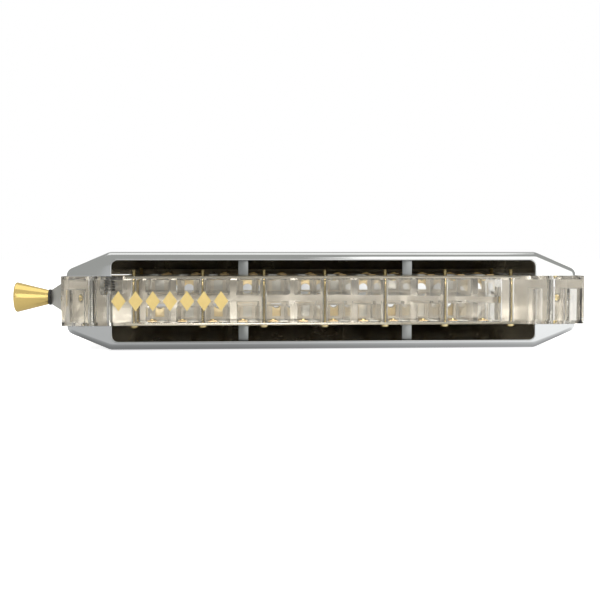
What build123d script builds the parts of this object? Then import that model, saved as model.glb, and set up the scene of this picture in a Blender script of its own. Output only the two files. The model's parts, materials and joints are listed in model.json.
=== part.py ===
"""A twelve-hole chromatic harmonica with a clear comb and a spring-loaded slide.

The harmonica lies flat. +X runs along it towards the low notes, +Y points at the player, +Z is up.
The origin is on the flat underside of the lower cover, below the middle of the comb.
The slide's button stands out at -X, the open backs of the covers face -Y.
All sizes are in millimetres.
"""
from build123d import *
import math
import os

os.makedirs("parts", exist_ok=True)

# ---- Driving dimensions ----
comb_length = 155.0
comb_depth = 28.0
comb_height = 14.5
comb_bevel = 1.1            # broken edge round the comb's rear face
cover_rise = 7.05           # height of each cover above the comb
sheet = 0.8                 # thickness of the stamped covers

hole_count = 12
hole_pitch = 9.0
holes_middle_x = -0.6
chamber_width = 6.9
septum_high = 4.4           # web between upper and lower chambers, high notes
septum_low = 1.9            # the same web, low notes
throat_length = 4.0         # where each chamber widens towards the slide
pocket_rise = 3.0           # how far the end pockets reach above mid-height
pocket_places = ((-74.0, 5.2), (74.6, 3.6), (64.7, 2.2))    # middle and width of each pocket
pocket_length = 12.0

plate_thickness = 1.0
plate_length = 117.0
plate_rear_y = -12.6
plate_front_y = 12.3
recess_gap = 0.1            # clearance round a reed plate in its recess

slot_front_y = 8.8
slot_long = 15.5            # lowest note
slot_short = 8.5            # highest note
slot_width = 2.3
slot_offset = 1.65          # each slot's distance from its chamber's middle
reed_width = 2.1
reed_thickness = 0.22
pad_width = 2.7
pad_length = 3.0
pad_thickness = 0.3
valve_width = 2.5
valve_thickness = 0.15
rivet_radius = 0.55
rivet_head_radius = 0.9
rivet_head_height = 0.4
fit_gap = 0.05              # radial clearance of pins and screws in their holes

screw_radius = 0.62
screw_head_radius = 1.3
screw_head_height = 0.8
stud_rise = 1.8             # how far the screws' tips stand above the upper reed plate
rear_screw_y = -11.45
front_screw_y = 10.6
corner_screw_x = 56.0       # outermost screws, from the middle of the holes

cover_left_x = -76.0
cover_right_x = 75.0
cover_rear_y = -13.6
cover_front_y = 13.4
cover_tip_height = 1.75     # upright edge at each end
cover_slope_run = 12.5      # sloped end, from the tip to the flat top
cover_nose_height = 2.2     # upright edge at the front
cover_flat_front_y = 2.5    # where the flat top starts to fall towards the player
cover_edge_radius = 1.9     # rounded edge along the open back
cover_tip_radius = 2.4      # rounding at each end
cover_shoulder_radius = 3.0
cover_nose_radius = 1.6
cover_brow_radius = 8.0
opening_left_x = -63.1
opening_right_x = 62.4
opening_height = 4.8
opening_corner_radius = 2.0

support_xs = (-24.7, 24.0)
support_width = 2.9
support_sheet = 0.6
support_y = -11.65
support_foot = 3.2

bolt_left_x = -69.5
bolt_right_x = 69.6
bolt_radius = 1.15
bolt_head_radius = 2.4
bolt_head_height = 1.5
cup_radius = 3.5            # dished seat of each cover bolt

mouthpiece_depth = 7.6
mouthpiece_height = 13.8
mouthpiece_round = 3.0
mouth_hole_radius = 3.4
slide_plate = 0.8           # thickness of the plates on both sides of the slide
slide_thickness = 0.7
slide_height = 12.4
slide_gap = 0.05            # clearance all round the slide
slide_travel = 4.45
slide_right_x = 63.0
slide_full_x = -79.4        # the blade has its full height from here on
blade_neck_x = -85.5        # where the blade leaves the washer
blade_neck_height = 4.5
tang_height = 3.0
window_width = 3.9
window_height = 3.8
window_rise = 3.6           # middle of each window row, above or below mid-height
channel_end_x = 69.0

anchor_left_x = -73.2
anchor_right_x = 73.2
anchor_radius = 1.0
anchor_head_radius = 1.9
anchor_grip = 5.0           # how far each mouthpiece screw reaches into the comb
anchor_sink = 2.2           # how deep its head lies in the mouthpiece

washer_radius = 2.5
washer_thickness = 0.7
button_length = 10.9
button_neck_radius = 2.28
button_end_radius = 4.85
button_dome = 0.7

spring_x = -64.0
spring_y = -6.0
spring_wire = 0.3           # wire radius
spring_coil_radius = 1.45
spring_pitch = 0.75
spring_turns = 3
spring_arm_z = 17.3
spring_arm_length = 21.37
spring_leg = 3.0
pin_radius = 0.8

ornament_left_x = -63.0
ornament_count = 7
ornament_width = 4.2
ornament_height = 5.9
ornament_gap = 0.75
ornament_depth = 0.1

# ---- Levels worked out from them ----
base_z = cover_rise                         # comb underside
top_z = cover_rise + comb_height            # comb top
mid_z = cover_rise + comb_height / 2
rear_y = -comb_depth / 2
front_y = comb_depth / 2
half_length = comb_length / 2
plate_under_z = top_z - plate_thickness     # inner face of the upper reed plate
plate_left_x = holes_middle_x - plate_length / 2
plate_right_x = holes_middle_x + plate_length / 2
slide_y0 = front_y + slide_plate            # player's side of the back plate
slide_y1 = slide_y0 + slide_thickness + 2 * slide_gap
mouth_y0 = slide_y1 + slide_plate
mouth_y1 = mouth_y0 + mouthpiece_depth
slide_mid_y = (slide_y0 + slide_y1) / 2
slide_top_z = mid_z + slide_height / 2
plate_top_z = mid_z + mouthpiece_height / 2


def block(x0, x1, y0, y1, z0, z1):
    """A box between two opposite corners."""
    middle = Pos((x0 + x1) / 2, (y0 + y1) / 2, (z0 + z1) / 2)
    return middle * Box(x1 - x0, y1 - y0, z1 - z0)


def upright(x, y, z0, z1, radius):
    """A round bar along Z."""
    return Pos(x, y, (z0 + z1) / 2) * Cylinder(radius, z1 - z0)


def lying(x, z, y0, y1, radius):
    """A round bar along Y."""
    return Pos(x, (y0 + y1) / 2, z) * Rot(90, 0, 0) * Cylinder(radius, y1 - y0)


def flipped(shape):
    """The same shape on the other side of the comb's mid-height."""
    return mirror(shape, about=Plane.XY.offset(mid_z))


def save(node, *shapes):
    """Write one sub-part, which may be several separate solids."""
    solids = []
    for shape in shapes:
        solids.extend(shape.solids())
    if len(solids) == 1:
        export_step(solids[0], f"parts/{node}.step")
    else:
        export_step(Compound(children=solids), f"parts/{node}.step")


def chamber_x(number):
    """Middle of a chamber; number 0 is the highest note."""
    return holes_middle_x + (number - (hole_count - 1) / 2) * hole_pitch


def lowness(number):
    """0 at the highest note, 1 at the lowest."""
    return number / (hole_count - 1)


def slot_back_y(number):
    """Back end of a reed slot; low notes have long slots."""
    length = slot_short + (slot_long - slot_short) * lowness(number)
    return slot_front_y - length


def screw_places():
    """Where the reed plate screws stand: a row along the back and the two front corners."""
    places = []
    for step in (-4, -2, 0, 2, 4):
        places.append((holes_middle_x + step * hole_pitch, rear_screw_y))
    for side in (-1, 1):
        for y in (rear_screw_y, front_screw_y):
            places.append((holes_middle_x + side * corner_screw_x, y))
    return places


# ---- Comb: clear block with an upper and a lower row of chambers ----
def chamber_cuts(number):
    """The upper chamber of one hole, with its throat at the slide."""
    x0 = chamber_x(number) - chamber_width / 2
    x1 = chamber_x(number) + chamber_width / 2
    back = slot_back_y(number) - pad_length - 0.2
    septum = septum_high + (septum_low - septum_high) * lowness(number)
    over = plate_under_z + 0.5
    room = block(x0, x1, back, front_y - throat_length, mid_z + septum / 2, over)
    throat_floor = mid_z + septum_low / 2
    throat_y = front_y - throat_length - 0.5
    throat = block(x0, x1, throat_y, front_y + 1, throat_floor, plate_under_z)
    return [room, throat]


def spring_pocket():
    """Pocket of the slide spring, widening to the front so that the arm can swing."""
    outline = Polyline(
        (spring_x - 2.4, spring_y - 3.2),
        (spring_x + 4.0, spring_y - 3.2),
        (spring_x + 4.0, front_y + 1),
        (spring_x - 4.5, front_y + 1),
        (spring_x - 2.4, spring_y + 3.2),
        close=True,
    )
    floor_z = spring_arm_z - 1.2
    return extrude(Pos(0, 0, floor_z) * make_face(outline), top_z - floor_z + 1)


def comb_pocket(x, width):
    """A pocket in the comb's end, open at its underside."""
    half = pocket_length / 2
    return block(x - width / 2, x + width / 2, -half, half, base_z - 1, mid_z + pocket_rise)


def make_comb():
    blank = block(-half_length, half_length, rear_y, front_y, base_z, top_z)
    blank = chamfer(blank.faces().sort_by(Axis.Y)[0].edges(), comb_bevel)
    cuts = []
    for number in range(hole_count):
        for cut in chamber_cuts(number):
            cuts.append(cut)
            cuts.append(flipped(cut))
    for x, y in screw_places():
        cuts.append(upright(x, y, base_z - 1, top_z + 1, screw_radius + fit_gap))
    for x in (bolt_left_x, bolt_right_x):
        cuts.append(upright(x, 0, base_z - 1, top_z + 1, bolt_radius + 2 * fit_gap))
    for x in (anchor_left_x, anchor_right_x):
        cuts.append(lying(x, mid_z, front_y - anchor_grip, front_y + 1, anchor_radius + fit_gap))
    for x, width in pocket_places:
        cuts.append(comb_pocket(x, width))
    recess = block(
        plate_left_x - recess_gap,
        plate_right_x + recess_gap,
        plate_rear_y - recess_gap,
        plate_front_y + recess_gap,
        plate_under_z,
        top_z + 1,
    )
    cuts.append(recess)
    cuts.append(flipped(recess))
    cuts.append(spring_pocket())
    cuts.append(upright(spring_x, spring_y, base_z - 1, spring_arm_z, pin_radius + fit_gap))
    return blank - cuts


save("comb", make_comb())


# ---- Reed plates, reeds, rivets and valves ----
def slot_xs(number):
    """Middles of the blow slot and the draw slot of one chamber."""
    return chamber_x(number) - slot_offset, chamber_x(number) + slot_offset


def make_reed_plate():
    plate = block(plate_left_x, plate_right_x, plate_rear_y, plate_front_y, plate_under_z, top_z)
    below = plate_under_z - 1
    above = top_z + 1
    cuts = []
    for number in range(hole_count):
        blow_x, draw_x = slot_xs(number)
        back = slot_back_y(number)
        for x in (blow_x, draw_x):
            half = slot_width / 2
            cuts.append(block(x - half, x + half, back, slot_front_y, below, above))
        hole = rivet_radius + fit_gap
        cuts.append(upright(blow_x, back - pad_length / 2, below, above, hole))
        cuts.append(upright(draw_x, slot_front_y + pad_length / 2, below, above, hole))
    for x, y in screw_places():
        cuts.append(upright(x, y, below, above, screw_radius + fit_gap))
    return plate - cuts


def make_reed(x, root_y, towards, length, face_z, up):
    """A reed riveted at root_y; its tongue points along towards and lies on the face at face_z."""
    pad_y = sorted((root_y, root_y - towards * pad_length))
    pad_z = sorted((face_z, face_z + up * pad_thickness))
    tongue_y = sorted((root_y - towards * 0.5, root_y + towards * (length - 0.15)))
    tongue_z = sorted((face_z, face_z + up * reed_thickness))
    pad = block(x - pad_width / 2, x + pad_width / 2, *pad_y, *pad_z)
    tongue = block(x - reed_width / 2, x + reed_width / 2, *tongue_y, *tongue_z)
    rivet_y = root_y - towards * pad_length / 2
    hole = upright(x, rivet_y, face_z - 1, face_z + 1, rivet_radius + fit_gap)
    return pad + tongue - hole


def make_rivet(x, y, reed_face_z, far_face_z, up):
    """A rivet through the plate and a reed's pad, with its head on the reed."""
    seat_z = reed_face_z + up * pad_thickness
    shank = upright(x, y, *sorted((far_face_z, seat_z)), rivet_radius)
    head = upright(x, y, *sorted((seat_z, seat_z + up * rivet_head_height)), rivet_head_radius)
    return shank + head


blow_reeds = []
draw_reeds = []
rivets = []
outer_valves = []
inner_valves = []
for number in range(hole_count):
    blow_x, draw_x = slot_xs(number)
    back = slot_back_y(number)
    length = slot_front_y - back
    # the blow reed hangs inside the chamber, the draw reed lies outside on the plate
    blow_reeds.append(make_reed(blow_x, back, 1, length, plate_under_z, -1))
    draw_reeds.append(make_reed(draw_x, slot_front_y, -1, length, top_z, 1))
    rivets.append(make_rivet(blow_x, back - pad_length / 2, plate_under_z, top_z, -1))
    rivets.append(make_rivet(draw_x, slot_front_y + pad_length / 2, top_z, plate_under_z, 1))
    half = valve_width / 2
    outer_z = (top_z, top_z + valve_thickness)
    inner_z = (plate_under_z - valve_thickness, plate_under_z)
    outer = block(blow_x - half, blow_x + half, back - 0.7, slot_front_y + 2.6, *outer_z)
    inner = block(draw_x - half, draw_x + half, back - 2.6, slot_front_y + 0.7, *inner_z)
    outer_valves.append(outer)
    inner_valves.append(inner)

reed_plate = make_reed_plate()
upper_side = {
    "reed_plate": [reed_plate],
    "blow_reeds": blow_reeds,
    "draw_reeds": draw_reeds,
    "reed_rivets": rivets,
    "outer_valves": outer_valves,
    "inner_valves": inner_valves,
}
for name, shapes in upper_side.items():
    save(f"{name}_upper", *shapes)
    save(f"{name}_lower", *[flipped(shape) for shape in shapes])


# ---- Screws that clamp both reed plates to the comb, with their heads underneath ----
def make_plate_screw(x, y):
    shank = upright(x, y, base_z, top_z + stud_rise, screw_radius)
    blank = upright(x, y, base_z - screw_head_height, base_z, screw_head_radius)
    head = fillet(blank.edges().sort_by(Axis.Z)[0], 0.5)
    slot_z = base_z - screw_head_height
    return shank + head - block(x - 2, x + 2, y - 0.2, y + 0.2, slot_z - 1, slot_z + 0.4)


save("reed_plate_screws", *[make_plate_screw(x, y) for x, y in screw_places()])


# ---- Covers: stamped shells, open at the back ----
def cover_form(inset):
    """The outside of the upper cover, or the hollow inside it when inset is the sheet's thickness.

    Heights are from the comb's top. The form runs on below it and is trimmed by the caller.
    """
    skirt = -6.0
    end_profile = Polyline(
        (cover_left_x, skirt),
        (cover_right_x, skirt),
        (cover_right_x, cover_tip_height),
        (cover_right_x - cover_slope_run, cover_rise),
        (cover_left_x + cover_slope_run, cover_rise),
        (cover_left_x, cover_tip_height),
        close=True,
    )
    side_profile = Polyline(
        (cover_rear_y, skirt),
        (cover_front_y, skirt),
        (cover_front_y, cover_nose_height),
        (cover_flat_front_y, cover_rise),
        (cover_rear_y, cover_rise),
        close=True,
    )
    end_face = make_face(end_profile)
    side_face = make_face(side_profile)
    tips = end_face.vertices().filter_by_position(Axis.Y, 0, cover_rise - 1)
    end_face = fillet(tips, cover_tip_radius)
    shoulders = end_face.vertices().filter_by_position(Axis.Y, cover_rise - 0.01, cover_rise + 1)
    end_face = fillet(shoulders, cover_shoulder_radius)
    nose = side_face.vertices().filter_by_position(Axis.Y, 0, cover_rise - 1)
    side_face = fillet(nose, cover_nose_radius)
    brow = side_face.vertices().sort_by(Axis.Y)[-2:].sort_by(Axis.X)[-1]
    side_face = fillet(brow, cover_brow_radius)
    if inset > 0:
        end_face = offset(end_face, -inset, kind=Kind.INTERSECTION)
        side_face = offset(side_face, -inset, kind=Kind.INTERSECTION)
    along = extrude(Plane.YZ * side_face, comb_length, both=True)
    across = extrude(Plane.XZ * end_face, comb_depth, both=True)
    form = along & across
    rear_face = form.faces().sort_by(Axis.Y)[0]
    rim = rear_face.edges().filter_by(lambda edge: edge.center().Z > 0)
    form = fillet(rim, cover_edge_radius - inset)
    return Pos(0, 0, top_z) * form


def rear_opening():
    """The sound opening in the back of the upper cover."""
    middle_x = (opening_left_x + opening_right_x) / 2
    width = opening_right_x - opening_left_x
    outline = RectangleRounded(width, 2 * opening_height, opening_corner_radius)
    opening = extrude(Plane.XZ * outline, 4, both=True)
    return Pos(middle_x, cover_rear_y, top_z) * opening


def make_cover():
    outside = cover_form(0)
    cover = outside - cover_form(sheet) - rear_opening()
    for x in (bolt_left_x, bolt_right_x):
        cup = upright(x, 0, top_z, top_z + cover_rise + 1, cup_radius) & outside
        hollow = upright(x, 0, top_z + sheet, top_z + cover_rise + 1, cup_radius - sheet)
        bore = upright(x, 0, top_z - 1, top_z + 2, bolt_radius + 2 * fit_gap)
        cover = cover + cup - hollow - bore
    over_comb = block(-100, 100, -50, 50, top_z, top_z + 20)
    return cover & over_comb


cover = make_cover()
save("cover_upper", cover)
save("cover_lower", flipped(cover))


# ---- Bent strips that hold the covers' open backs apart from the comb ----
def make_support(x):
    x0 = x - support_width / 2
    x1 = x + support_width / 2
    roof_z = top_z + cover_rise - sheet
    web = block(x0, x1, support_y, support_y + support_sheet, top_z, roof_z)
    foot = block(x0, x1, support_y, support_y + support_foot, top_z, top_z + support_sheet)
    flange = block(x0, x1, support_y, support_y + support_foot, roof_z - support_sheet, roof_z)
    return web + foot + flange


supports = [make_support(x) for x in support_xs]
save("cover_supports_upper", *supports)
save("cover_supports_lower", *[flipped(support) for support in supports])


# ---- Bolts and nuts through both covers and the comb ----
def make_cover_bolt(x):
    seat_z = top_z + sheet
    tip_z = base_z - sheet - 1.4
    shank = upright(x, 0, tip_z, seat_z, bolt_radius)
    blank = Pos(x, 0, seat_z + bolt_head_height / 2) * Cylinder(bolt_head_radius, bolt_head_height)
    head = fillet(blank.edges().sort_by(Axis.Z)[-1], 1.0)
    slot = block(x - 3, x + 3, -0.3, 0.3, seat_z + 0.8, seat_z + 3)
    return shank + head - slot


def make_cover_nut(x):
    seat_z = base_z - sheet
    nut = upright(x, 0, seat_z - bolt_head_height, seat_z, bolt_head_radius)
    bore = upright(x, 0, seat_z - 5, seat_z + 1, bolt_radius + fit_gap)
    return nut - bore


save("cover_bolts", *[make_cover_bolt(x) for x in (bolt_left_x, bolt_right_x)])
save("cover_nuts", *[make_cover_nut(x) for x in (bolt_left_x, bolt_right_x)])


# ---- Mouthpiece and the plates round the slide ----
def anchor_holes(radius):
    return [lying(x, mid_z, front_y - 1, mouth_y1 + 1, radius) for x in (anchor_left_x, anchor_right_x)]


def mouth_holes():
    holes = []
    for number in range(hole_count):
        holes.append(lying(chamber_x(number), mid_z, front_y, mouth_y1 + 1, mouth_hole_radius))
    return holes


def windows(x, row):
    """One window of the upper row (row 1) or the lower row (row -1), cut along Y."""
    z = mid_z + row * window_rise
    half = window_width / 2
    tall = window_height / 2
    return block(x - half, x + half, front_y - 1, slide_y1 + 1, z - tall, z + tall)


def plate_blank(y0, y1):
    z0 = mid_z - mouthpiece_height / 2
    return block(-half_length, half_length, y0, y1, z0, plate_top_z)


def make_mouthpiece():
    blank = plate_blank(mouth_y0, mouth_y1)
    lips = blank.faces().sort_by(Axis.Y)[-1].edges()
    body = fillet(lips, mouthpiece_round)
    sinks = []
    for x in (anchor_left_x, anchor_right_x):
        sinks.append(lying(x, mid_z, mouth_y1 - anchor_sink, mouth_y1 + 1, anchor_head_radius + 0.2))
    body = body - mouth_holes() - anchor_holes(anchor_radius + fit_gap) - sinks
    front_face = body.faces().filter_by(GeomType.PLANE).sort_by(Axis.Y)[-1]
    rims = front_face.edges().filter_by(GeomType.CIRCLE)
    rims = rims.filter_by(lambda edge: abs(edge.radius - mouth_hole_radius) < 0.01)
    return chamfer(rims, 0.15)


def make_back_plate():
    cuts = anchor_holes(anchor_radius + fit_gap)
    for number in range(hole_count):
        for row in (-1, 1):
            cuts.append(windows(chamber_x(number), row))
    slot_z = spring_arm_z
    cuts.append(block(spring_x - 4.5, spring_x + 1.6, front_y - 1, slide_y0 + 1, slot_z - 0.8, slot_z + 0.8))
    return plate_blank(front_y, slide_y0) - cuts


def make_channel():
    """A frame as thick as the slide's space, open at the button's end."""
    inner_top = slide_top_z + slide_gap
    inner_low = mid_z - slide_height / 2 - slide_gap
    run = block(-half_length - 1, channel_end_x, slide_y0 - 1, slide_y1 + 1, inner_low, inner_top)
    return plate_blank(slide_y0, slide_y1) - run - anchor_holes(anchor_radius + fit_gap)


save("mouthpiece", make_mouthpiece())
save("slide_back_plate", make_back_plate())
save("slide_channel", make_channel())
front_plate = plate_blank(slide_y1, mouth_y0)
save("slide_front_plate", front_plate - mouth_holes() - anchor_holes(anchor_radius + fit_gap))


# ---- Screws that hold the mouthpiece and the plates on the comb ----
def make_anchor_screw(x):
    seat_y = mouth_y1 - anchor_sink
    shank = lying(x, mid_z, front_y - anchor_grip + 0.3, seat_y, anchor_radius)
    head = lying(x, mid_z, seat_y, seat_y + 1.5, anchor_head_radius)
    slot = block(x - 3, x + 3, seat_y + 0.8, seat_y + 2, mid_z - 0.25, mid_z + 0.25)
    return shank + head - slot


save("mouthpiece_screws", *[make_anchor_screw(x) for x in (anchor_left_x, anchor_right_x)])


# ---- Slide: a thin blade with staggered windows, its button and washer ----
def make_slide():
    half = slide_height / 2
    neck = blade_neck_height / 2
    tang = tang_height / 2
    tang_x = blade_neck_x - washer_thickness - 6.0
    outline = Polyline(
        (tang_x, -tang),
        (blade_neck_x, -tang),
        (blade_neck_x, -neck),
        (slide_full_x, -half),
        (slide_right_x, -half),
        (slide_right_x, half),
        (slide_full_x, half),
        (blade_neck_x, neck),
        (blade_neck_x, tang),
        (tang_x, tang),
        close=True,
    )
    blade = extrude(Plane.XZ * make_face(outline), slide_thickness / 2, both=True)
    blade = Pos(0, slide_mid_y, mid_z) * blade
    cuts = []
    for number in range(hole_count):
        # at rest even holes open to the lower row, odd holes to the upper one
        rest_row = -1 if number % 2 == 0 else 1
        cuts.append(windows(chamber_x(number), rest_row))
        cuts.append(windows(chamber_x(number) - slide_travel, -rest_row))
    # slot round the mouthpiece screw, which also stops the slide at both ends
    stop = anchor_radius + 0.1
    screw_slot = SlotOverall(slide_travel + 2 * stop, 2 * stop)
    slot_x = anchor_left_x - slide_travel / 2
    cuts.append(Pos(slot_x, slide_mid_y, mid_z) * extrude(Plane.XZ * screw_slot, 2, both=True))
    tip_x = spring_x - spring_coil_radius * math.cos(swing) - spring_arm_length * math.sin(swing)
    cuts.append(lying(tip_x, spring_arm_z, slide_y0 - 1, slide_y1 + 1, spring_wire + 0.35))
    return blade - cuts


# half of the angle that the spring's arm turns through over the slide's travel
swing = math.asin(slide_travel / 2 / spring_arm_length)
save("slide", make_slide())

tang_slot = block(
    blade_neck_x - washer_thickness - 6.1,
    blade_neck_x + 1,
    slide_mid_y - slide_thickness / 2 - 0.02,
    slide_mid_y + slide_thickness / 2 + 0.02,
    mid_z - tang_height / 2 - 0.02,
    mid_z + tang_height / 2 + 0.02,
)
washer_middle = Pos(blade_neck_x - washer_thickness / 2, slide_mid_y, mid_z) * Rot(0, 90, 0)
save("button_washer", washer_middle * Cylinder(washer_radius, washer_thickness) - tang_slot)


def make_button():
    """A turned cone that flares towards its domed outer end."""
    neck_x = blade_neck_x - washer_thickness
    end_x = neck_x - button_length
    rim_x = end_x + button_dome
    dome_radius = (button_end_radius**2 + button_dome**2) / (2 * button_dome)
    half_out = button_end_radius / 2
    half_out_x = end_x + dome_radius - math.sqrt(dome_radius**2 - half_out**2)
    outline = [
        Line((neck_x, 0), (neck_x, button_neck_radius)),
        Line((neck_x, button_neck_radius), (rim_x, button_end_radius)),
        ThreePointArc((rim_x, button_end_radius), (half_out_x, half_out), (end_x, 0)),
        Line((end_x, 0), (neck_x, 0)),
    ]
    profile = make_face(outline)
    profile = fillet(profile.vertices().sort_by(Axis.Y)[-1], 0.5)
    return Pos(0, slide_mid_y, mid_z) * revolve(profile, Axis.X) - tang_slot


save("slide_button", make_button())


# ---- Slide spring: coil on a pin, with the arm that pushes the slide out ----
def make_spring_coil():
    """The fixed turns, with a leg that runs out to the pocket's rear wall."""
    start_z = spring_arm_z + 2 * spring_wire + 0.15
    turns = Helix(spring_pitch, spring_pitch * spring_turns, spring_coil_radius, lefthand=True)
    leg = Line(turns @ 1, turns @ 1 + (turns % 1) * spring_leg)
    section = Plane(origin=turns @ 0, z_dir=turns % 0) * Circle(spring_wire)
    return Pos(spring_x, spring_y, start_z) * sweep(section, path=turns + leg)


def make_spring_arm():
    """The lowest turn and the straight arm, at the slide's rest position."""
    turn = CenterArc((0, 0), spring_coil_radius, 510, -330)
    path = turn + Line((-spring_coil_radius, 0), (-spring_coil_radius, spring_arm_length))
    section = Plane(origin=turn @ 0, z_dir=turn % 0) * Circle(spring_wire)
    arm = sweep(section, path=path)
    return Pos(spring_x, spring_y, spring_arm_z) * Rot(0, 0, math.degrees(swing)) * arm


save("slide_spring_coil", make_spring_coil())
save("slide_spring_arm", make_spring_arm())
save("spring_pin", upright(spring_x, spring_y, base_z, top_z - 0.6, pin_radius))


# ---- Gilt ornament on the comb's rear face: a row of lozenges ----
def make_ornament():
    half = ornament_width / 2
    tall = ornament_height / 2
    outline = Polyline((-half, 0), (0, tall), (half, 0), (0, -tall), close=True)
    lozenge = extrude(Plane.XZ * make_face(outline), ornament_depth / 2, both=True)
    pieces = []
    for number in range(ornament_count):
        x = ornament_left_x + half + number * (ornament_width + ornament_gap)
        pieces.append(Pos(x, rear_y - ornament_depth / 2, mid_z) * lozenge)
    return pieces


save("rear_ornament", *make_ornament())
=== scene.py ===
# %% [markdown]
# # A chromatic harmonica with a clear comb
#
# We take the harmonica's finished parts from the CAD frame and give them what CAD leaves out:
# plated metal, milled acrylic, soft edges, screw threads and studio light. The frame is loaded
# first, so that every size below can be read from it. All lengths are in metres, Z points up,
# and the open backs of the covers face -Y.

# %% Load the frame
import json
import math

import bpy
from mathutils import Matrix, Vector


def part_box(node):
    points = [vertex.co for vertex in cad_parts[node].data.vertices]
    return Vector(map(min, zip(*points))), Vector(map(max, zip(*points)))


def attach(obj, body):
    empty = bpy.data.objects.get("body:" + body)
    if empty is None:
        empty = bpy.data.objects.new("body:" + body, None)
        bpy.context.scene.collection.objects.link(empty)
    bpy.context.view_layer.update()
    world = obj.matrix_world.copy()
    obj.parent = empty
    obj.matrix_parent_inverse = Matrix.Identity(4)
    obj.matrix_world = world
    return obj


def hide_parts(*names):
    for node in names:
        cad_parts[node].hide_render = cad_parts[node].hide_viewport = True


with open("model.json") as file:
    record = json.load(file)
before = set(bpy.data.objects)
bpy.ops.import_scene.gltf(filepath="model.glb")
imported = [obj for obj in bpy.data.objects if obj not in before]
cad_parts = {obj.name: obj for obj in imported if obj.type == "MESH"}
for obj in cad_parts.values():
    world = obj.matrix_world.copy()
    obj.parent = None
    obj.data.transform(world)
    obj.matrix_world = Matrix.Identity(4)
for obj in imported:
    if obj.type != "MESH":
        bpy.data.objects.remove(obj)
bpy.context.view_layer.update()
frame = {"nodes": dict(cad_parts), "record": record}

MM = 0.001

# %% [markdown]
# ## Small helpers
#
# Operators in Blender work on what is selected, so each step starts by clearing the selection.
# Loading leaves every CAD part selected, and an operator would otherwise change them all.

# %% Selection helpers
def select_only(obj):
    """Deselects everything, then selects obj and makes it active."""
    if bpy.context.object and bpy.context.object.mode != "OBJECT":
        bpy.ops.object.mode_set(mode="OBJECT")
    bpy.ops.object.select_all(action="DESELECT")
    obj.select_set(True)
    bpy.context.view_layer.objects.active = obj


def choose(mesh, kind, test):
    """Selects the vertices, edges or polygons of a mesh that pass a test, and no others."""
    for group in (mesh.polygons, mesh.edges, mesh.vertices):
        for element in group:
            element.select = False
    for element in getattr(mesh, kind):
        element.select = test(element)


# %% Object helpers
def add_object(name, data):
    """Makes an object of a mesh, a lamp or a camera and puts it in the scene."""
    obj = bpy.data.objects.new(name, data)
    bpy.context.scene.collection.objects.link(obj)
    return obj


def dress(obj, *materials):
    """Gives the piece its materials; the first one is on every face until others are assigned."""
    obj.data.materials.clear()
    for material in materials:
        obj.data.materials.append(material)


def node_box(node):
    """The lowest and the highest corner of a CAD node."""
    low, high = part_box(node)
    return Vector(low), Vector(high)


comb_low, comb_high = node_box("comb")
print("comb, mm", [round(v / MM, 2) for v in comb_high - comb_low])

# %% [markdown]
# ## Node materials
#
# A material is a small network of nodes. `new_material` gives us the network's main shader, and
# `link` joins an output to an input. Values that are the same all over go straight on the
# shader's own inputs; only what varies over the surface is built from textures. A surface can
# also answer two kinds of light ray in two ways: the Light Path node tells what kind asks.

# %% Material helpers
def new_material(name, colour, metallic, roughness):
    """A Principled material; returns it with its node tree and main shader."""
    material = bpy.data.materials.new(name)
    material.use_nodes = True
    tree = material.node_tree
    shader = tree.nodes["Principled BSDF"]
    shader.inputs["Base Color"].default_value = (*colour, 1.0)
    shader.inputs["Metallic"].default_value = metallic
    shader.inputs["Roughness"].default_value = roughness
    return material, tree, shader


def link(tree, source, output, target, socket):
    tree.links.new(source.outputs[output], target.inputs[socket])


def split_by_ray(tree, kind, special, usual, end):
    """Shows the special shader to one kind of ray, and the usual one to every other ray."""
    path = tree.nodes.new("ShaderNodeLightPath")
    mix = tree.nodes.new("ShaderNodeMixShader")
    link(tree, path, kind, mix, "Fac")
    link(tree, usual, 0, mix, 1)
    link(tree, special, 0, mix, 2)
    link(tree, mix, "Shader", end, "Surface")


print("material helpers", new_material.__name__, link.__name__, split_by_ray.__name__)

# %% [markdown]
# ## Patterns
#
# Nothing real has one colour and one polish all over. All patterns here come from noise that is
# fixed to the piece by its Object coordinates, so it travels with the piece when it moves.

# %% Pattern helpers
def noise_on_object(tree, scale, stretch=(1.0, 1.0, 1.0), detail=3.0):
    """Noise fixed to the piece; a stretch below 1 along an axis draws the pattern out there."""
    place = tree.nodes.new("ShaderNodeTexCoord")
    mapping = tree.nodes.new("ShaderNodeMapping")
    mapping.inputs["Scale"].default_value = stretch
    noise = tree.nodes.new("ShaderNodeTexNoise")
    noise.inputs["Scale"].default_value = scale
    noise.inputs["Detail"].default_value = detail
    link(tree, place, "Object", mapping, "Vector")
    link(tree, mapping, "Vector", noise, "Vector")
    return noise


def spread(tree, source, output, low, high):
    """Maps a 0 to 1 pattern to the range low to high."""
    remap = tree.nodes.new("ShaderNodeMapRange")
    remap.inputs["To Min"].default_value = low
    remap.inputs["To Max"].default_value = high
    link(tree, source, output, remap, "Value")
    return remap


def vary_roughness(tree, shader, pattern, low, high):
    """Lets the roughness wander between low and high with a pattern."""
    wander = spread(tree, pattern, "Fac", low, high)
    link(tree, wander, "Result", shader, "Roughness")


def vary_colour(tree, shader, pattern, dark, light):
    """Lets the base colour drift between two tints with a pattern."""
    tint = tree.nodes.new("ShaderNodeMix")
    tint.data_type = "RGBA"
    colours = [socket for socket in tint.inputs if socket.type == "RGBA"]
    colours[0].default_value = (*dark, 1.0)
    colours[1].default_value = (*light, 1.0)
    link(tree, pattern, "Fac", tint, "Factor")
    mixed = [socket for socket in tint.outputs if socket.type == "RGBA"][0]
    tree.links.new(mixed, shader.inputs["Base Color"])


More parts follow.
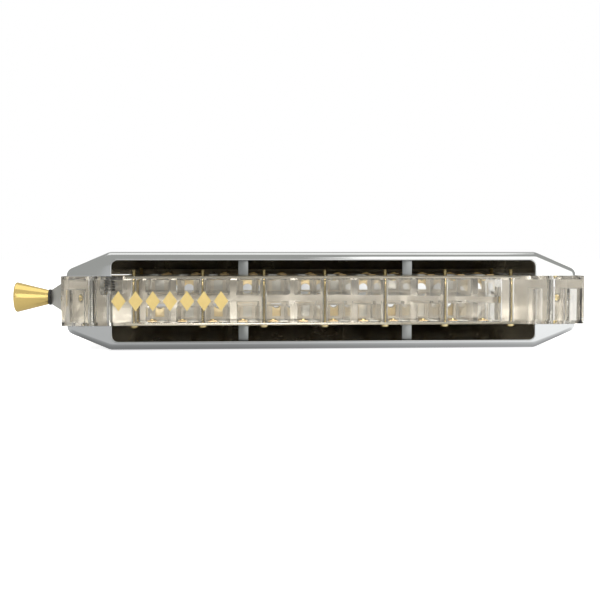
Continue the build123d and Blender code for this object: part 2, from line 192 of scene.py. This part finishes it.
def add_bump(tree, shader, pattern, strength, height):
    """Raises the surface with a pattern, up to the given height in metres."""
    bump = tree.nodes.new("ShaderNodeBump")
    bump.inputs["Strength"].default_value = strength
    bump.inputs["Distance"].default_value = height
    link(tree, pattern, "Fac", bump, "Height")
    link(tree, bump, "Normal", shader, "Normal")


print("pattern helpers", vary_roughness.__name__, vary_colour.__name__, add_bump.__name__)

# %% [markdown]
# ## Metals
#
# Every metal here is the same recipe with other numbers: a base colour that drifts a little, a
# roughness that varies where fingers and polishing cloths have been, and a fine grain. On rolled
# or brushed metal the grain is stretched along X, the way the sheet went through the rollers.

# %% Metal recipe
CLOUD_SCALE = 45.0
CLOUD_DARKNESS = 0.90
GRAIN_STRENGTH = 0.6


def make_metal(name, colour, roughness, drift, grain, stretch, height, metallic=1.0):
    """drift: how far roughness wanders; grain: scale of the grain; height: of the grain."""
    material, tree, shader = new_material(name, colour, metallic, roughness)
    cloud = noise_on_object(tree, CLOUD_SCALE, detail=4.0)
    vary_roughness(tree, shader, cloud, max(roughness - drift, 0.0), roughness + drift)
    vary_colour(tree, shader, cloud, [c * CLOUD_DARKNESS for c in colour], colour)
    fine = noise_on_object(tree, grain, stretch, detail=2.0)
    add_bump(tree, shader, fine, GRAIN_STRENGTH, height)
    return material


print("clouds of polish are about", round(1 / CLOUD_SCALE / MM), "mm wide")

# %% [markdown]
# ## The harmonica's metals
#
# The covers are mirror chrome and the mouthpiece and button polished gold plate. Hidden sheet
# metal is only rolled, so it is rougher. The gold isn't wholly metallic: the small diffuse part
# takes light from the lamps that leave no reflection, and keeps the button from going brown.

# %% All metals
ROLLED = (0.04, 1.0, 1.0)
EVEN = (1.0, 1.0, 1.0)
metal_table = {
    # colour, roughness, drift, grain, stretch, height of the grain, and metallic if below 1
    "cover_chrome": ((0.84, 0.85, 0.84), 0.06, 0.03, 900, EVEN, 2e-7),
    "strip_steel": ((0.38, 0.39, 0.38), 0.34, 0.06, 2500, ROLLED, 4e-6),
    "bolt_steel": ((0.70, 0.69, 0.66), 0.24, 0.06, 2500, EVEN, 2e-6),
    "slide_steel": ((0.76, 0.74, 0.68), 0.34, 0.08, 2500, ROLLED, 4e-6),
    "plate_steel": ((0.84, 0.78, 0.68), 0.44, 0.08, 1600, ROLLED, 6e-6),
    "spring_wire": ((0.22, 0.21, 0.19), 0.24, 0.05, 2500, EVEN, 2e-6),
    "plate_nickel": ((0.86, 0.80, 0.68), 0.36, 0.07, 1800, ROLLED, 4e-6),
    "reed_bronze": ((0.80, 0.60, 0.34), 0.30, 0.07, 2500, ROLLED, 5e-6),
    "screw_brass": ((0.88, 0.72, 0.38), 0.20, 0.05, 2500, EVEN, 2e-6),
    "gold_plate": ((1.0, 0.74, 0.26), 0.12, 0.04, 900, EVEN, 2e-7, 0.74),
    "satin_gold": ((0.98, 0.80, 0.48), 0.38, 0.08, 1600, ROLLED, 6e-6),
}
metals = {name: make_metal(name, *recipe) for name, recipe in metal_table.items()}
print("metals", sorted(metals))

# %% [markdown]
# ## The darkened inside of the covers
#
# The inside of the covers gets a dark, dull metal: painted shade for the little light that reaches
# under the covers. It still mirrors a little, which is what shows the reeds faintly in it.

# %% Dark metal as painted shade
def make_painted_shade_inside():
    # The dark colour is painted shade for the hollow under the cover, not the metal's own tone.
    colour = (0.20, 0.18, 0.15)
    material, tree, shader = new_material("painted_shade_inside", colour, metallic=0.85, roughness=0.26)
    mottle = noise_on_object(tree, scale=120.0, detail=6.0)
    vary_roughness(tree, shader, mottle, low=0.16, high=0.34)
    vary_colour(tree, shader, mottle, dark=(0.16, 0.14, 0.10), light=(0.40, 0.36, 0.28))
    return material


painted_shade_inside = make_painted_shade_inside()
print("made", painted_shade_inside.name)

# %% [markdown]
# ## Acrylic
#
# The comb is milled from clear acrylic: it bends light like glass, a little less strongly. Its
# outside is polished, but the side walls that the cutter left in the chambers are satin: they
# scatter some light, which makes the chambers glow. So the comb gets two versions of one
# recipe. Lamps send no direct light through a refracting surface, so the pieces inside
# would stay dark. The usual cure is to let shadow rays pass: the glass is swapped for a plain
# transparent shader when a ray only asks whether a lamp can be seen.

# %% Acrylic
ACRYLIC_INDEX = 1.49
UPRIGHT_MARKS = (1.0, 1.0, 0.15)
MARK_STRENGTH = 0.5
SHADOW_TINT = (0.95, 0.94, 0.92, 1.0)


def make_acrylic(name, colour, clearness, smooth, rough, mark_height=0.0):
    """clearness: share of light that passes; smooth, rough: roughness; mark_height: tool marks."""
    material, tree, shader = new_material(name, colour, metallic=0.0, roughness=smooth)
    shader.inputs["Transmission Weight"].default_value = clearness
    shader.inputs["IOR"].default_value = ACRYLIC_INDEX
    polish = noise_on_object(tree, scale=160.0)
    vary_roughness(tree, shader, polish, smooth, rough)
    if mark_height > 0:
        marks = noise_on_object(tree, scale=1500.0, stretch=UPRIGHT_MARKS)
        add_bump(tree, shader, marks, MARK_STRENGTH, mark_height)
    clear = tree.nodes.new("ShaderNodeBsdfTransparent")
    clear.inputs["Color"].default_value = SHADOW_TINT
    split_by_ray(tree, "Is Shadow Ray", clear, shader, tree.nodes["Material Output"])
    return material


acrylic_polished = make_acrylic("clear_comb", (0.985, 0.975, 0.945), 1.0, 0.0, 0.03)
acrylic_milled = make_acrylic("milled_comb", (0.99, 0.97, 0.92), 0.85, 0.0, 0.06, 0.01 * MM)
print("acrylics", acrylic_polished.name, acrylic_milled.name)

# %% [markdown]
# ## Film, rubber and gilt
#
# The valves are strips of thin frosted plastic, the washer under the button is black rubber, and
# the ornament is stamped on with gilt foil, which is duller than solid gold.

# %% Small finishes
def make_film():
    colour = (0.90, 0.89, 0.84)
    material, tree, shader = new_material("valve_film", colour, metallic=0.0, roughness=0.45)
    cloud = noise_on_object(tree, scale=300.0)
    vary_roughness(tree, shader, cloud, low=0.38, high=0.55)
    add_bump(tree, shader, cloud, strength=0.3, height=0.01 * MM)
    return material


def make_rubber():
    colour = (0.03, 0.03, 0.03)
    material, tree, shader = new_material("dark_rubber", colour, metallic=0.0, roughness=0.6)
    grit = noise_on_object(tree, scale=4000.0)
    add_bump(tree, shader, grit, strength=0.4, height=0.02 * MM)
    return material


def make_gilt():
    colour = (0.80, 0.60, 0.22)
    material, tree, shader = new_material("gilt_print", colour, metallic=0.35, roughness=0.42)
    foil = noise_on_object(tree, scale=700.0, detail=5.0)
    vary_colour(tree, shader, foil, dark=(0.70, 0.52, 0.19), light=(0.88, 0.68, 0.28))
    vary_roughness(tree, shader, foil, low=0.34, high=0.52)
    return material


finishes = {
    **metals,
    "clear_comb": acrylic_polished,
    "valve_film": make_film(),
    "dark_rubber": make_rubber(),
    "gilt_print": make_gilt(),
}
print("finishes", len(finishes))

# %% [markdown]
# ## From CAD node to shown piece
#
# A CAD node comes as loose triangles: right in shape, but every facet has its own corners, so
# light can't run smoothly over a curve. We leave the node alone and work on a copy. Its corners
# are merged, its flat areas joined into whole faces, its edges broken by a narrow bevel, and
# it is shaded smooth wherever two faces meet at a small angle.

# %% Copy a node and break its edges
SAME_PLACE = 0.001 * MM
SAME_PLANE = math.radians(0.3)
SHARP = math.radians(35.0)


def merged_copy(node, name, whole_faces=True):
    """A copy of a CAD node with its corners merged and, if asked, its flat areas made whole."""
    piece = add_object(name, frame["nodes"][node].data.copy())
    select_only(piece)
    bpy.ops.object.mode_set(mode="EDIT")
    bpy.ops.mesh.select_all(action="SELECT")
    bpy.ops.mesh.remove_doubles(threshold=SAME_PLACE)
    if whole_faces:
        bpy.ops.mesh.dissolve_limited(angle_limit=SAME_PLANE)
    bpy.ops.object.mode_set(mode="OBJECT")
    return piece


def apply_bevel(piece, width, segments=2):
    """Rounds every sharp edge of the piece."""
    select_only(piece)
    edge = piece.modifiers.new("broken_edges", "BEVEL")
    edge.width = width
    edge.segments = segments
    edge.limit_method = "ANGLE"
    edge.angle_limit = SHARP
    bpy.ops.object.modifier_apply(modifier=edge.name)


def shade_smooth(degrees):
    """Shades the active piece smooth wherever two faces meet at less than this angle."""
    bpy.ops.object.shade_smooth_by_angle(angle=math.radians(degrees))


print("copy helpers", merged_copy.__name__, apply_bevel.__name__, shade_smooth.__name__)

# %% [markdown]
# ## What each piece stands for
#
# Each shown piece is parented to the moving body it rides on and hides the CAD nodes it
# replaces. The body and the finish of each node are in the frame's record, so we read them from there.

# %% Settle a piece
def settle(piece, body, slot, *nodes):
    """Parents the piece to the body it rides on and hides the nodes it stands for; slot is not used."""
    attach(piece, body)
    if nodes:
        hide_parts(*nodes)


slot_of = {entry["node"]: entry["material_slot"] for entry in frame["record"]["subparts"]}
body_of = {}
for body, nodes in frame["record"]["behaviour"]["bodies"].items():
    for node in nodes:
        body_of[node] = body


def finished_copy(node, bevel):
    """A clean-edged copy of a CAD node that replaces it; bevel is the edge width in metres."""
    piece = merged_copy(node, node + "_piece")
    if bevel > 0:
        apply_bevel(piece, bevel)
    shade_smooth(30.0)
    dress(piece, finishes[slot_of[node]])
    settle(piece, body_of[node], slot_of[node], node)
    return piece


print("slots", sorted(set(slot_of.values())))

# %% [markdown]
# ## The plain pieces
#
# Most pieces have their final shape from CAD and only need clean edges and their finish. The
# bevel is kept far below the sheet's thickness: stamped and milled edges are crisp, but never
# perfectly sharp, and the thin line of light on them is what makes them look real. The plate
# behind the mouthpiece is gold plated too, but not polished.

# %% Finish the plain pieces
modelled_anew = ("comb", "cover_upper", "cover_lower", "reed_plate_screws", "cover_bolts")
edge_width = {
    "cover_supports_upper": 0.08 * MM,
    "cover_supports_lower": 0.08 * MM,
    "mouthpiece": 0.08 * MM,
    "slide": 0.04 * MM,
    "slide_back_plate": 0.05 * MM,
    "slide_front_plate": 0.05 * MM,
    "reed_plate_upper": 0.05 * MM,
    "reed_plate_lower": 0.05 * MM,
    "reed_rivets_upper": 0.06 * MM,
    "reed_rivets_lower": 0.06 * MM,
    "cover_nuts": 0.12 * MM,
    "mouthpiece_screws": 0.12 * MM,
    "button_washer": 0.15 * MM,
}
shown = {}
for node in frame["nodes"]:
    if node not in modelled_anew:
        shown[node] = finished_copy(node, edge_width.get(node, 0.0))
        print(node, len(shown[node].data.polygons), "faces")

dress(shown["slide_front_plate"], finishes["satin_gold"])

# %% [markdown]
# ## Comb
#
# The comb touches the plates on all sides. Two surfaces in the same place confuse the light, and
# a real joint always holds a film of air, so the comb is shrunk by a few hundredths of a
# millimetre along its normals. Faces inside the block's outline are the cutter's work. The side
# walls and floors get the satin acrylic; the end walls stay clear, so that we look through them.

# %% Shape the comb
COMB_EDGE = 0.15 * MM
AIR_FILM = 0.03 * MM

comb = merged_copy("comb", "comb_piece")
apply_bevel(comb, COMB_EDGE, segments=3)
bpy.ops.object.mode_set(mode="EDIT")
bpy.ops.mesh.select_all(action="SELECT")
bpy.ops.transform.shrink_fatten(value=-AIR_FILM)
bpy.ops.object.mode_set(mode="OBJECT")
shade_smooth(30.0)
print("comb", len(comb.data.polygons), "faces")

# %% Finish the comb
SKIN = 1.3 * MM
END_WALL = 0.5


def cut_by_mill(face):
    """True for a face well inside the comb's outline that isn't an end wall of a chamber."""
    inside = all(comb_low[i] + SKIN < face.center[i] < comb_high[i] - SKIN for i in range(3))
    return inside and abs(face.normal.y) < END_WALL


dress(comb, acrylic_polished, acrylic_milled)
milled_faces = [face for face in comb.data.polygons if cut_by_mill(face)]
for face in milled_faces:
    face.material_index = 1
settle(comb, body_of["comb"], "clear_comb", "comb")
print("milled faces", len(milled_faces))

# %% [markdown]
# ## Where the screws and bolts are
#
# One CAD node can hold many solids, such as all nine screws. Separating a scratch copy into its
# loose parts gives us the box of each, which tells where its screw must stand.

# %% Boxes of loose parts
def loose_boxes(node):
    """Lowest and highest corner of each separate solid of a node."""
    merged_copy(node, "scratch")
    bpy.ops.object.mode_set(mode="EDIT")
    bpy.ops.mesh.separate(type="LOOSE")
    bpy.ops.object.mode_set(mode="OBJECT")
    boxes = []
    for part in list(bpy.context.selected_objects):
        points = [vertex.co for vertex in part.data.vertices]
        low = Vector([min(p[i] for p in points) for i in range(3)])
        high = Vector([max(p[i] for p in points) for i in range(3)])
        boxes.append((low, high))
        bpy.data.objects.remove(part, do_unlink=True)
    return sorted(boxes, key=lambda box: (box[0].x, box[0].y))


bolt_boxes = loose_boxes("cover_bolts")
plate_screw_boxes = loose_boxes("reed_plate_screws")
print("cover bolts", len(bolt_boxes), "reed plate screws", len(plate_screw_boxes))

# %% [markdown]
# ## Covers
#
# A face of the shell that looks towards the middle of its hollow is an inner face, and gets the
# dark metal that paints the shade under the cover. The edge of the open back and the dished bolt
# seats also look inwards but lie outside the shaded hollow, so they are left chromed.

# %% Finish the covers
SHEET = 0.8 * MM
SEAT_RADIUS = 3.2 * MM
MOSTLY_REAR = 0.7
SOME_RISE = 0.3
seats = [((low + high) / 2).xy for low, high in bolt_boxes]


def finish_cover(node):
    cover = merged_copy(node, node + "_piece", whole_faces=False)
    shade_smooth(30.0)
    dress(cover, finishes["cover_chrome"], painted_shade_inside)
    low, high = node_box(node)
    upwards = 1 if node == "cover_upper" else -1
    hollow = (low + high) / 2
    hollow.z = low.z if upwards > 0 else high.z
    for face in cover.data.polygons:
        looks_in = face.normal.dot(face.center - hollow) < 0
        edge_of_sheet = face.center.y < low.y + SHEET and abs(face.normal.y) < MOSTLY_REAR
        near_seat = any((face.center.xy - seat).length < SEAT_RADIUS for seat in seats)
        in_dish = near_seat and face.normal.z * upwards > SOME_RISE
        # Inner faces get the dark metal: painted shade for the hollow under the cover.
        if looks_in and not edge_of_sheet and not in_dish:
            face.material_index = 1
    settle(cover, body_of[node], "cover_chrome", node)
    return cover


covers = [finish_cover(node) for node in ("cover_upper", "cover_lower")]
print("covers", [len(cover.data.polygons) for cover in covers], "faces")

# %% [markdown]
# ## Rolled rims
#
# The edge of each sound opening is rolled into a thin bead, so that it doesn't cut the hand. The
# bead follows the opening exactly: we keep only the edges of the opening from a copy of the
# cover, turn them into a curve and give the curve a round section.

# %% The edge of an opening
ON_THE_BACK = 0.01 * MM
WALL_TOLERANCE = 0.15 * MM
HARDLY_REAR = 0.1
COVER_ENDS = 8.0 * MM
COVER_FLAT = 0.02


def keep_opening_edges(rim, low, high):
    """Deletes all of a cover but the rear edges round its opening; returns how many are left."""
    mesh = rim.data
    wall_y = low.y + SHEET / 2
    flat = COVER_FLAT * (high.z - low.z)

    def round_opening(face):
        """True for the narrow walls of the sheet round the opening."""
        level = abs(face.center.y - wall_y) < WALL_TOLERANCE and abs(face.normal.y) < HARDLY_REAR
        between_ends = low.x + COVER_ENDS < face.center.x < high.x - COVER_ENDS
        return level and between_ends and low.z + flat < face.center.z < high.z - flat

    choose(mesh, "polygons", round_opening)
    bpy.ops.object.mode_set(mode="EDIT")
    bpy.ops.mesh.select_mode(type="EDGE")
    bpy.ops.mesh.region_to_loop()
    bpy.ops.object.mode_set(mode="OBJECT")
    at_back = [abs(vertex.co.y - low.y) < ON_THE_BACK for vertex in mesh.vertices]
    ring = {edge.index for edge in mesh.edges if edge.select and all(at_back[v] for v in edge.vertices)}
    choose(mesh, "edges", lambda edge: edge.index not in ring)
    bpy.ops.object.mode_set(mode="EDIT")
    bpy.ops.mesh.delete(type="EDGE")
    bpy.ops.mesh.select_all(action="SELECT")
    bpy.ops.mesh.delete(type="ONLY_FACE")
    bpy.ops.object.mode_set(mode="OBJECT")
    return len(ring)


print("sheet, mm", SHEET / MM)

# %% Roll the rims
RIM_BEAD = 0.20 * MM


def roll_rim(node):
    rim = merged_copy(node, node + "_rim")
    edges = keep_opening_edges(rim, *node_box(node))
    bpy.ops.object.convert(target="CURVE")
    curve = bpy.context.object.data
    curve.bevel_depth = RIM_BEAD
    curve.bevel_resolution = 3
    curve.use_fill_caps = True
    bpy.ops.object.convert(target="MESH")
    rim = bpy.context.object
    shade_smooth(50.0)
    dress(rim, finishes["cover_chrome"])
    settle(rim, body_of[node], "cover_chrome")
    print(rim.name, edges, "edges,", len(rim.data.polygons), "faces")


for node in ("cover_upper", "cover_lower"):
    roll_rim(node)

# %% [markdown]
# ## Threads
#
# The screws run through clear plastic, so their threads show. A true helix costs many faces and
# looks the same at this size as a stack of fine ridges: the shank is a cylinder cut into
# rings, and every other ring is drawn in to the depth of the thread.

# %% Thread helper
ROOT_SHARE = 0.80


def threaded_shank(middle, z0, z1, crest, pitch):
    """An upright bar with ridges; crest is its largest radius."""
    length = z1 - z0
    bpy.ops.object.select_all(action="DESELECT")
    bpy.ops.mesh.primitive_cylinder_add(
        vertices=20, radius=crest, depth=length, location=(middle.x, middle.y, (z0 + z1) / 2)
    )
    shank = bpy.context.object
    mesh = shank.data

    def upright(edge):
        lower, upper = [mesh.vertices[index].co.z for index in edge.vertices]
        return lower != upper

    choose(mesh, "edges", upright)
    ridges = max(int(length / pitch), 2)
    bpy.ops.object.mode_set(mode="EDIT")
    bpy.ops.mesh.select_mode(type="EDGE")
    bpy.ops.mesh.subdivide_edgering(number_cuts=2 * ridges - 1, interpolation="LINEAR")
    bpy.ops.object.mode_set(mode="OBJECT")
    step = length / (2 * ridges)
    choose(mesh, "vertices", lambda vertex: round((vertex.co.z + length / 2) / step) % 2 == 1)
    bpy.ops.object.mode_set(mode="EDIT")
    bpy.ops.mesh.select_mode(type="VERT")
    bpy.ops.transform.resize(value=(ROOT_SHARE, ROOT_SHARE, 1.0))
    bpy.ops.object.mode_set(mode="OBJECT")
    bpy.ops.object.transform_apply(location=True, rotation=True, scale=True)
    return shank


print("thread root", ROOT_SHARE, "of the crest")

# %% [markdown]
# ## Screw heads
#
# A cheese head is a short drum. Its upper edge is bevelled into a curve, and a thin block, taken
# away by a Boolean modifier, leaves the slot for the driver.

# %% Head helper
SLOT_WIDTH_SHARE = 0.3
SLOT_DEPTH_SHARE = 0.45
ROUNDING_SHARE = 0.5
OUTER_END = 0.45


def round_head(middle, z0, z1, radius):
    """A slotted head between its seat at z0 and its outer end at z1, which may lie below it."""
    height = abs(z1 - z0)
    outwards = 1 if z1 > z0 else -1
    bpy.ops.object.select_all(action="DESELECT")
    bpy.ops.mesh.primitive_cylinder_add(
        vertices=40, radius=radius, depth=height, location=(middle.x, middle.y, (z0 + z1) / 2)
    )
    head = bpy.context.object
    mesh = head.data

    def at_outer_end(edge):
        return all(mesh.vertices[index].co.z * outwards > height * OUTER_END for index in edge.vertices)

    choose(mesh, "edges", at_outer_end)
    bpy.ops.object.mode_set(mode="EDIT")
    bpy.ops.mesh.select_mode(type="EDGE")
    bpy.ops.mesh.bevel(offset=height * ROUNDING_SHARE, segments=4)
    bpy.ops.object.mode_set(mode="OBJECT")
    bpy.ops.object.select_all(action="DESELECT")
    bpy.ops.mesh.primitive_cube_add(size=1.0, location=(middle.x, middle.y, z1))
    cutter = bpy.context.object
    cutter.scale = (radius * 3, radius * SLOT_WIDTH_SHARE, height * SLOT_DEPTH_SHARE * 2)
    select_only(head)
    cut = head.modifiers.new("slot", "BOOLEAN")
    cut.operation = "DIFFERENCE"
    cut.object = cutter
    bpy.context.view_layer.update()
    bpy.ops.object.modifier_apply(modifier=cut.name)
    bpy.data.objects.remove(cutter, do_unlink=True)
    bpy.ops.object.transform_apply(location=True, rotation=True, scale=True)
    return head


print("head slot", SLOT_WIDTH_SHARE, "of the radius wide,", SLOT_DEPTH_SHARE, "of the height deep")

# %% [markdown]
# ## Reed plate screws and cover bolts
#
# All screws of one kind are alike, so one is modelled at the place of the first CAD screw and
# then copied to the others. The thread's crests are as wide as the CAD shank, so they keep the
# same clearance in their holes. The reed plate screws have their heads underneath.

# %% Model one screw, copy it and join the copies
def join_pieces(pieces, name):
    """Makes one object of several."""
    bpy.context.view_layer.update()
    select_only(pieces[0])
    for piece in pieces[1:]:
        piece.select_set(True)
    bpy.ops.object.join()
    whole = bpy.context.object
    whole.name = name
    return whole


def model_screws(node, boxes, shank_radius, head_height, head_radius, pitch, head_up):
    low, high = boxes[0]
    middle = (low + high) / 2
    if head_up:
        seat, outer, tip = high.z - head_height, high.z, low.z
    else:
        seat, outer, tip = low.z + head_height, low.z, high.z
    shank = threaded_shank(middle, min(seat, tip), max(seat, tip), shank_radius, pitch)
    head = round_head(middle, seat, outer, head_radius)
    screws = [join_pieces([shank, head], "screw")]
    for low, high in boxes[1:]:
        copy = add_object("screw", screws[0].data.copy())
        copy.location = (low + high) / 2 - middle
        screws.append(copy)
    whole = join_pieces(screws, node + "_piece")
    shade_smooth(28.0)
    dress(whole, finishes[slot_of[node]])
    settle(whole, body_of[node], slot_of[node], node)
    print(whole.name, len(boxes), "screws,", len(whole.data.polygons), "faces")


model_screws(
    "reed_plate_screws", plate_screw_boxes, shank_radius=0.62 * MM,
    head_height=0.8 * MM, head_radius=1.3 * MM, pitch=0.42 * MM, head_up=False,
)
model_screws(
    "cover_bolts", bolt_boxes, shank_radius=1.15 * MM,
    head_height=1.5 * MM, head_radius=2.4 * MM, pitch=0.55 * MM, head_up=True,
)

# %% [markdown]
# ## Paper and room
#
# Polished metal shows what stands round it, so a studio for it is built from large plain
# surfaces. The harmonica lies on white paper, with a white room behind it. The camera sees the
# paper and the room pure white. Reflections see the room grey and the paper as a glow of painted
# light and shade: brighter towards the screen at the right, and a painted shadow close under the
# harmonica.

# %% Paper helpers
def distance_fade(tree, axes, axis, near, far, shade):
    """A value that is shade within near of the middle along an axis, and 1 beyond far."""
    distance = tree.nodes.new("ShaderNodeMath")
    distance.operation = "ABSOLUTE"
    link(tree, axes, axis, distance, "Value")
    fade = spread(tree, distance, "Value", shade, 1.0)
    fade.inputs["From Min"].default_value = near
    fade.inputs["From Max"].default_value = far
    return fade


def combine(tree, operation, one, two):
    """A Math node that works on the first outputs of two nodes."""
    both = tree.nodes.new("ShaderNodeMath")
    both.operation = operation
    link(tree, one, 0, both, 0)
    link(tree, two, 0, both, 1)
    return both


print("paper helpers", distance_fade.__name__, combine.__name__)

# %% Paper
PAPER_DIM, PAPER_BRIGHT = 0.52, 1.05
DIM_X, BRIGHT_X = -0.05, 0.09
# Depth and reach of the painted shadow under the harmonica.
CONTACT_SHADE = 0.42
CONTACT_Y = (13 * MM, 26 * MM)
CONTACT_X = (74 * MM, 84 * MM)
PAPER_GLOW = 0.75
FLOOR_SIZE = 8.0
FLOOR_GAP = 0.5 * MM


def make_paper():
    colour = (0.95, 0.95, 0.95)
    material, tree, shader = new_material("studio_paper", colour, metallic=0.0, roughness=0.9)
    shader.inputs["Emission Color"].default_value = (1.0, 1.0, 1.0, 1.0)
    shader.inputs["Emission Strength"].default_value = PAPER_GLOW
    place = tree.nodes.new("ShaderNodeTexCoord")
    axes = tree.nodes.new("ShaderNodeSeparateXYZ")
    link(tree, place, "Object", axes, "Vector")
    # Painted light: the glow that reflections see brightens towards the screen at the right.
    painted_light_ramp = spread(tree, axes, "X", PAPER_DIM, PAPER_BRIGHT)
    painted_light_ramp.interpolation_type = "SMOOTHSTEP"
    painted_light_ramp.inputs["From Min"].default_value = DIM_X
    painted_light_ramp.inputs["From Max"].default_value = BRIGHT_X
    # Painted shadow: the glow is dimmed close under the harmonica, across it and along it.
    across = distance_fade(tree, axes, "Y", *CONTACT_Y, CONTACT_SHADE)
    along = distance_fade(tree, axes, "X", *CONTACT_X, CONTACT_SHADE)
    painted_shadow = combine(tree, "MAXIMUM", across, along)
    strength = combine(tree, "MULTIPLY", painted_light_ramp, painted_shadow)
    glow = tree.nodes.new("ShaderNodeEmission")
    glow.inputs["Color"].default_value = (0.98, 0.99, 1.0, 1.0)
    link(tree, strength, 0, glow, "Strength")
    split_by_ray(tree, "Is Camera Ray", shader, glow, tree.nodes["Material Output"])
    return material


bpy.ops.object.select_all(action="DESELECT")
bpy.ops.mesh.primitive_plane_add(size=FLOOR_SIZE, location=(0, 0, -FLOOR_GAP))
floor = bpy.context.object
floor.name = "studio_floor"
dress(floor, make_paper())
print("floor, m", [round(v, 1) for v in floor.dimensions])

# %% Room
ROOM_GREY = 0.40

world = bpy.data.worlds.new("room")
world.use_nodes = True
sky = world.node_tree
room = sky.nodes["Background"]
room.inputs["Color"].default_value = (0.97, 0.98, 0.95, 1.0)
room.inputs["Strength"].default_value = ROOM_GREY
white_room = sky.nodes.new("ShaderNodeBackground")
white_room.inputs["Color"].default_value = (1.0, 1.0, 1.0, 1.0)
split_by_ray(sky, "Is Camera Ray", white_room, room, sky.nodes["World Output"])
bpy.context.scene.world = world
bpy.context.scene.view_settings.view_transform = "Standard"
print("room", world.name, "strength", ROOM_GREY)

# %% [markdown]
# ## Lamps
#
# A large screen stands behind the camera at the right, which makes the right half of the chrome
# bright and leaves the left half grey, and another hangs overhead. Two fill lamps light what is
# matt or clear, above all the acrylic, and are hidden from reflections: on polished metal they
# would leave hard spots.

# %% Lamps
def soft_box(name, place, width, height, radiance, mirrored=True):
    """A rectangular lamp that faces the harmonica; radiance is how bright its face looks."""
    data = bpy.data.lights.new(name, "AREA")
    data.shape = "RECTANGLE"
    data.size = width
    data.size_y = height
    data.energy = radiance * math.pi * width * height
    lamp = add_object(name, data)
    lamp.location = place
    lamp.rotation_euler = (-Vector(place)).to_track_quat("-Z", "Y").to_euler()
    lamp.visible_camera = False
    lamp.visible_glossy = mirrored
    print(name, round(data.energy, 2), "W")


soft_box("screen_right", (0.80, -1.3, 0.35), 1.45, 1.1, 0.95)
soft_box("overhead", (0.0, 0.1, 1.4), 1.3, 1.2, 0.62)
soft_box("fill_rear", (-0.2, -1.1, 0.55), 1.0, 0.8, 4.8, mirrored=False)
soft_box("fill_top", (0.1, 0.3, 1.2), 1.0, 0.8, 3.0, mirrored=False)

# %% [markdown]
# ## Camera
#
# The view is from behind, a little to the button's side and just above the comb. A camera looks
# down its own -Z, so a quarter turn about X makes it look level along +Y.

# %% Camera
LENS = 58.3
SENSOR = 36.0
EYE = (-26.5 * MM, -298.3 * MM, 28.1 * MM)
DOWN = math.radians(2.73)
TO_THE_RIGHT = math.radians(3.70)

camera_data = bpy.data.cameras.new("camera")
camera_data.sensor_width = SENSOR
camera_data.lens = LENS
camera_data.clip_start = 10 * MM
camera = add_object("camera", camera_data)
camera.location = EYE
camera.rotation_euler = (math.pi / 2 - DOWN, 0.0, -TO_THE_RIGHT)
bpy.context.scene.camera = camera
print("camera", round(camera.location.length, 3), "m from the origin")
